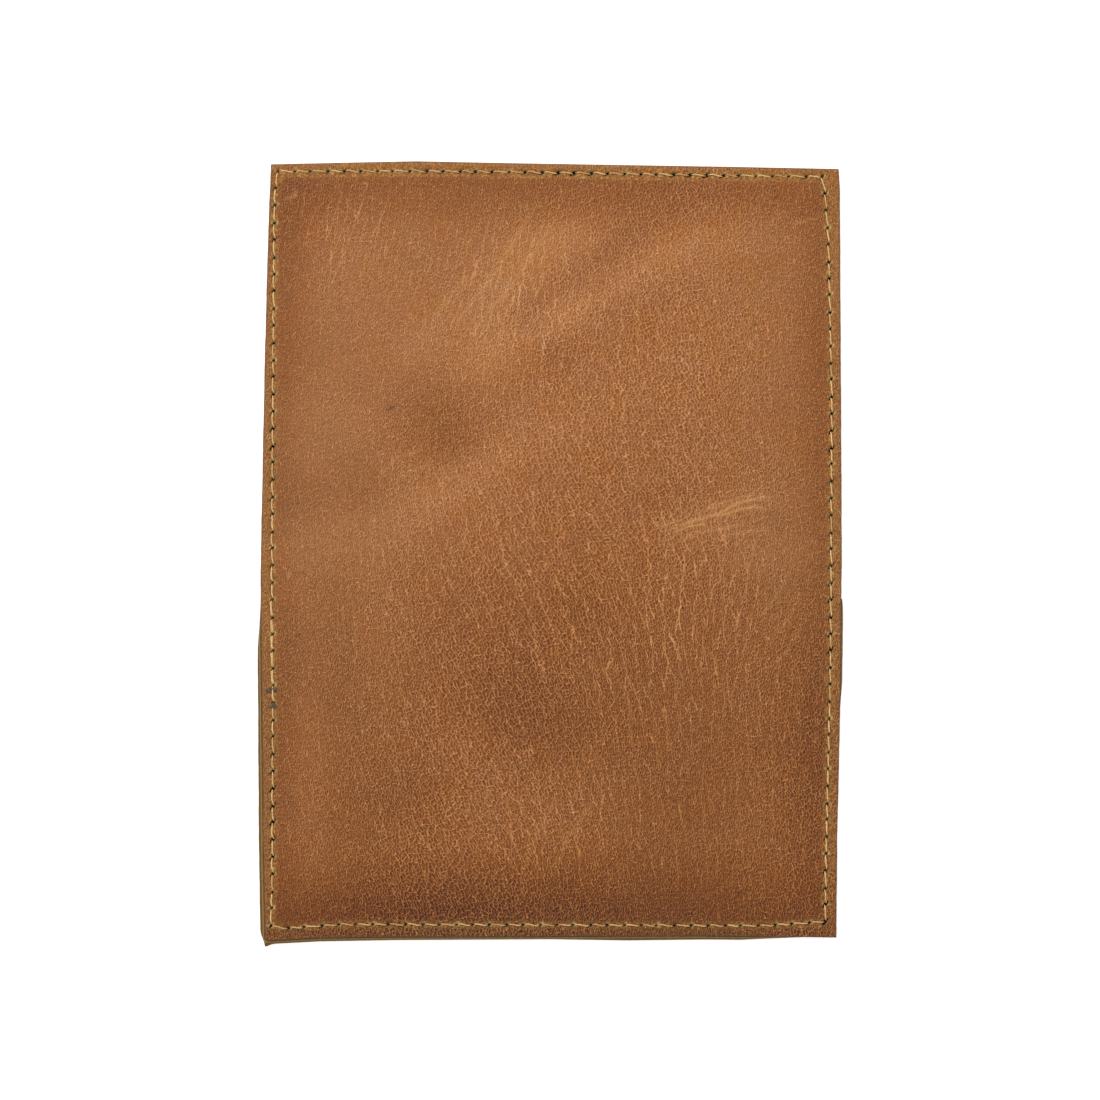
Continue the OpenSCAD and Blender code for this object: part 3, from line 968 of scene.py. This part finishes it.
def halo_at(x, y):
    """Where the wax has worn to ochre: along the seam, and in the margin mostly at the top."""
    inside = seam_distance(x, y)
    top = smooth((y - 94) / 5)
    bottom = smooth((-y - 92) / 5)
    seam = (0.85 - 0.35 * bottom) * bell(inside, 0.85)
    seam = np.maximum(seam, (0.15 + 0.7 * top) * bell(inside - 1.15, 0.3))
    margin = (0.3 + 0.1 * top * smooth((40 - x) / 30) - 0.2 * bottom) * smooth(-inside / 1.0)
    return np.maximum(seam, margin)


def grain_at(x, y):
    return np.stack([x - grain_shift(x, y), y * GRAIN_PULL, np.zeros(x.shape)], 1)


def wear_at(x, y):
    return np.clip(ridge_lift(x, y) / 0.12, 0, 1.3)


SHELL_ATTRIBUTES = {
    "tone": tone_at, "warmth": warmth_at, "grain": grain_at, "halo": halo_at, "pit": pit_at,
    "dark_patch": dark_patch_at, "lip": lip_at, "wear": wear_at, "creased": creased_at, "relief": relief_at,
    "edge_shade": edge_shade_at, "nick": nick_at,
}
SHELL_RINGS = [(0.05, 0.8), (0.09, 0.5), (0.04, 0.2)]
POCKET_RINGS = [(0.06, 0.75), (0.08, 0.45), (0.03, 0.2)]


def shell_half(name, low_y, high_y, materials):
    top = Grid((-HALF_X, low_y), (HALF_X, high_y), COARSE_CELL, 4, shell_cell)
    under = Grid((-HALF_X, low_y), (HALF_X, high_y), COARSE_CELL, 2, plain_cell)
    return slab(name, top, under, fit_outline, shell_height, under_shell, SHELL_RINGS, materials,
                SHELL_ATTRIBUTES)


def pocket_outline(front):
    """From the straight rectangle to the pocket's outline, which at the back stands out past the shell."""
    past_left = curve(POCKET_LEFT)
    past_right = curve(POCKET_RIGHT)
    past_bottom = curve(POCKET_BOTTOM)

    def fit(gx, gy):
        x, y = fit_outline(gx, gy)
        share = gx / HALF_X
        if front:
            return x - 0.35 * share, y - 0.35 * smooth((gy - MOUTH_Y) / (HALF_Y - MOUTH_Y))
        x = x - past_left(gy) * smooth(-share * 3 - 2) + past_right(gy) * smooth(share * 3 - 2)
        reach = smooth(3 * (-gy - MOUTH_Y) / (HALF_Y - MOUTH_Y) - 2)
        y = y - past_bottom(gx) * reach
        rounded = bell(gy + HALF_Y, 1.9) * smooth(-share * 3 - 2)
        tip = bell(np.hypot(gx + HALF_X, gy + HALF_Y), 1.3)
        return x + 1.1 * rounded, y - 0.65 * tip
    return fit


def pocket_top(x, y):
    return POCKET_TOP - 0.02 - 0.06 * bell(seam_distance(x, y), 1.0)


def pocket_under(x, y):
    rim = np.clip(1 - margin_at(x, y) / 1.2, 0, 1)
    return SEAM_HOLLOW * bell(seam_distance(x, y), 0.9) + 0.15 * rim * rim


def overhang_at(x, y):
    """How far the pocket stands out past the shell."""
    return np.clip(-margin_at(x, y), 0, 2)


def pocket_cell(gx, gy):
    size = np.full(gx.shape, 1.6)
    size[HALF_X - np.abs(gx) < 5.0] = 0.8
    size[HALF_Y - np.abs(gy) < 6.0] = 0.8
    return size


def pocket_half(name, low_y, high_y, front, materials):
    grid = Grid((-HALF_X, low_y), (HALF_X, high_y), COARSE_CELL, 2, pocket_cell)
    return slab(name, grid, grid, pocket_outline(front), pocket_top, pocket_under, POCKET_RINGS, materials,
                {"overhang": overhang_at})


def melted_ends(material):
    """Three lumpy beads where the thread's ends were melted down."""
    verts = []
    faces = []
    rows, around = 9, 14
    for bx, by, rx, ry in MELTED_BEADS:
        base = len(verts)
        for r in range(rows):
            tilt = math.pi * r / (rows - 1)
            for k in range(around):
                turn = 2 * math.pi * k / around
                lump = 1 + 0.16 * math.sin(3 * turn + bx * 5) * math.sin(tilt)
                lump += 0.1 * math.sin(5 * turn + 2 * tilt)
                x = bx + rx * lump * math.sin(tilt) * math.cos(turn)
                y = by + ry * lump * math.sin(tilt) * math.sin(turn)
                verts.append((x, y, BEAD_HEIGHT * math.cos(tilt)))
        for r in range(rows - 1):
            for k in range(around):
                q = (k + 1) % around
                upper = base + r * around
                lower = upper + around
                faces.append([upper + k, lower + k, lower + q, upper + q])
    points = np.array(verts)
    points[:, 2] += shell_height(points[:, 0], points[:, 1], fine=False) + 0.1
    return new_mesh("melted_ends", points, faces, [material])


# -------- camera, floor and light
# In metres: how wide the picture is at the cover, and the place it is centred on.
VIEW_WIDTH = 0.2857
VIEW_MIDDLE = (-0.0001, 0.0009)
# In millimetres: half the floor's side, and its height.
FLOOR_SIDE = 3000.0
FLOOR_Z = -0.05


def make_camera():
    """Straight above the cover, with VIEW_WIDTH of it across the picture."""
    data = bpy.data.cameras.new("camera")
    data.lens = 85
    data.sensor_width = 36
    camera = bpy.data.objects.new("camera", data)
    distance = VIEW_WIDTH * data.lens / data.sensor_width
    camera.location = (VIEW_MIDDLE[0], VIEW_MIDDLE[1], SHELL_HIGH.z + distance)
    bpy.context.scene.collection.objects.link(camera)
    bpy.context.scene.camera = camera


def make_light():
    """A soft box from the upper left, and an even pale sky."""
    scene = bpy.context.scene
    scene.view_settings.view_transform = "Standard"
    world = bpy.data.worlds.new("studio")
    scene.world = world
    world.use_nodes = True
    world.node_tree.nodes["Background"].inputs[0].default_value = (1, 1, 1, 1)
    world.node_tree.nodes["Background"].inputs[1].default_value = 0.78
    data = bpy.data.lights.new("softbox", "AREA")
    data.shape = "RECTANGLE"
    data.size = 0.9
    data.size_y = 0.6
    data.energy = 6.0
    lamp = bpy.data.objects.new("softbox", data)
    lamp.location = (-0.35, 0.75, 0.75)
    aim = -lamp.location
    lamp.rotation_mode = "QUATERNION"
    lamp.rotation_quaternion = aim.to_track_quat("-Z", "Y")
    scene.collection.objects.link(lamp)


def make_floor():
    """A plain pale floor just under the cover."""
    m = Material("floor")
    place = m.place()
    shade = m.noise(place, 0.01, 2.0)
    colour = m.colours(shade, [(0.3, (250, 250, 250)), (0.7, (254, 254, 254))])
    m.shader.inputs["Emission Color"].default_value = (1, 1, 1, 1)
    m.shader.inputs["Emission Strength"].default_value = 0.45
    material = m.finish(colour, 0.9, m.bump(shade, 0.00001), 0.1)
    corners = [(-FLOOR_SIDE, -FLOOR_SIDE, FLOOR_Z), (FLOOR_SIDE, -FLOOR_SIDE, FLOOR_Z),
               (FLOOR_SIDE, FLOOR_SIDE, FLOOR_Z), (-FLOOR_SIDE, FLOOR_SIDE, FLOOR_Z)]
    floor = new_mesh("floor", corners, [[0, 1, 2, 3]], [material])


# -------- the whole cover
def bend_back(piece):
    """Bake the piece's transform into its mesh; no bend is made at the fold beside the back half."""
    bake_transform(piece)


def bend_front(piece):
    """Bake the piece's transform into its mesh; no bend is made at the fold beside the front half."""
    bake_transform(piece)


def stand_for(piece, slot, *nodes):
    """Hide the CAD nodes that a piece stands in for; the piece and its material slot are not used."""
    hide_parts(*nodes)


def build():
    hide = outer_leather()
    edge = cut_edge()
    flesh = flesh_side()
    lining = pocket_leather()
    cream = thread_material("thread", (170, 128, 72), (236, 194, 134), (252, 228, 180))
    beads = melted_material()

    def back(y):
        return y < 0

    def front(y):
        return y >= 0

    def under_side(x, y):
        on_pocket = np.abs(y) > MOUTH_Y
        return np.where(on_pocket, SEAM_HOLLOW, SHELL_UNDER)

    shell = shell_half("outer_leather_back", -HALF_Y, 0.0, [hide, edge, flesh])
    bend_back(shell)
    stand_for(shell, "outer_leather", "back_shell", "spine_shell")
    shell = shell_half("outer_leather_front", 0.0, HALF_Y, [hide, edge, flesh])
    bend_front(shell)
    stand_for(shell, "outer_leather", "front_shell")

    pocket = pocket_half("pocket_back", -HALF_Y, -MOUTH_Y, False, [flesh, edge, lining])
    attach(pocket, "back_cover")
    stand_for(pocket, "pocket_leather", "back_pocket")
    pocket = pocket_half("pocket_front", MOUTH_Y, HALF_Y, True, [flesh, edge, lining])
    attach(pocket, "front_cover")
    stand_for(pocket, "pocket_leather", "front_pocket")

    thread = needle_thread("needle_thread_back", back, cream)
    bend_back(thread)
    stand_for(thread, "thread", "back_needle_thread", "spine_needle_thread")
    thread = needle_thread("needle_thread_front", front, cream)
    bend_front(thread)
    stand_for(thread, "thread", "front_needle_thread")
    thread = bobbin_thread("bobbin_thread_back", back, under_side, cream)
    bend_back(thread)
    stand_for(thread, "thread", "back_bobbin_thread", "spine_bobbin_thread")
    thread = bobbin_thread("bobbin_thread_front", front, under_side, cream)
    bend_front(thread)
    stand_for(thread, "thread", "front_bobbin_thread")

    strands = Strands()
    doubled = [h for h in SEAM_LEFT_HOLES if -36 < h[1] < -9]
    for k in range(len(doubled) - 1):
        path = stitch_path(doubled[k], doubled[k + 1], SIDE_SLANT, upper_surface, THREAD_R * 0.9, 0.08,
                           offset=0.4)
        strands.plied(path, THREAD_R, PLY_TURNS)
    overlap = strands.build("overlap_thread_plied", cream)
    bend_back(overlap)
    stand_for(overlap, "thread", "overlap_thread")
    ends = melted_ends(beads)
    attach(ends, "back_cover")
    stand_for(ends, "melted_thread", "thread_ends")


make_camera()
make_floor()
make_light()
build()
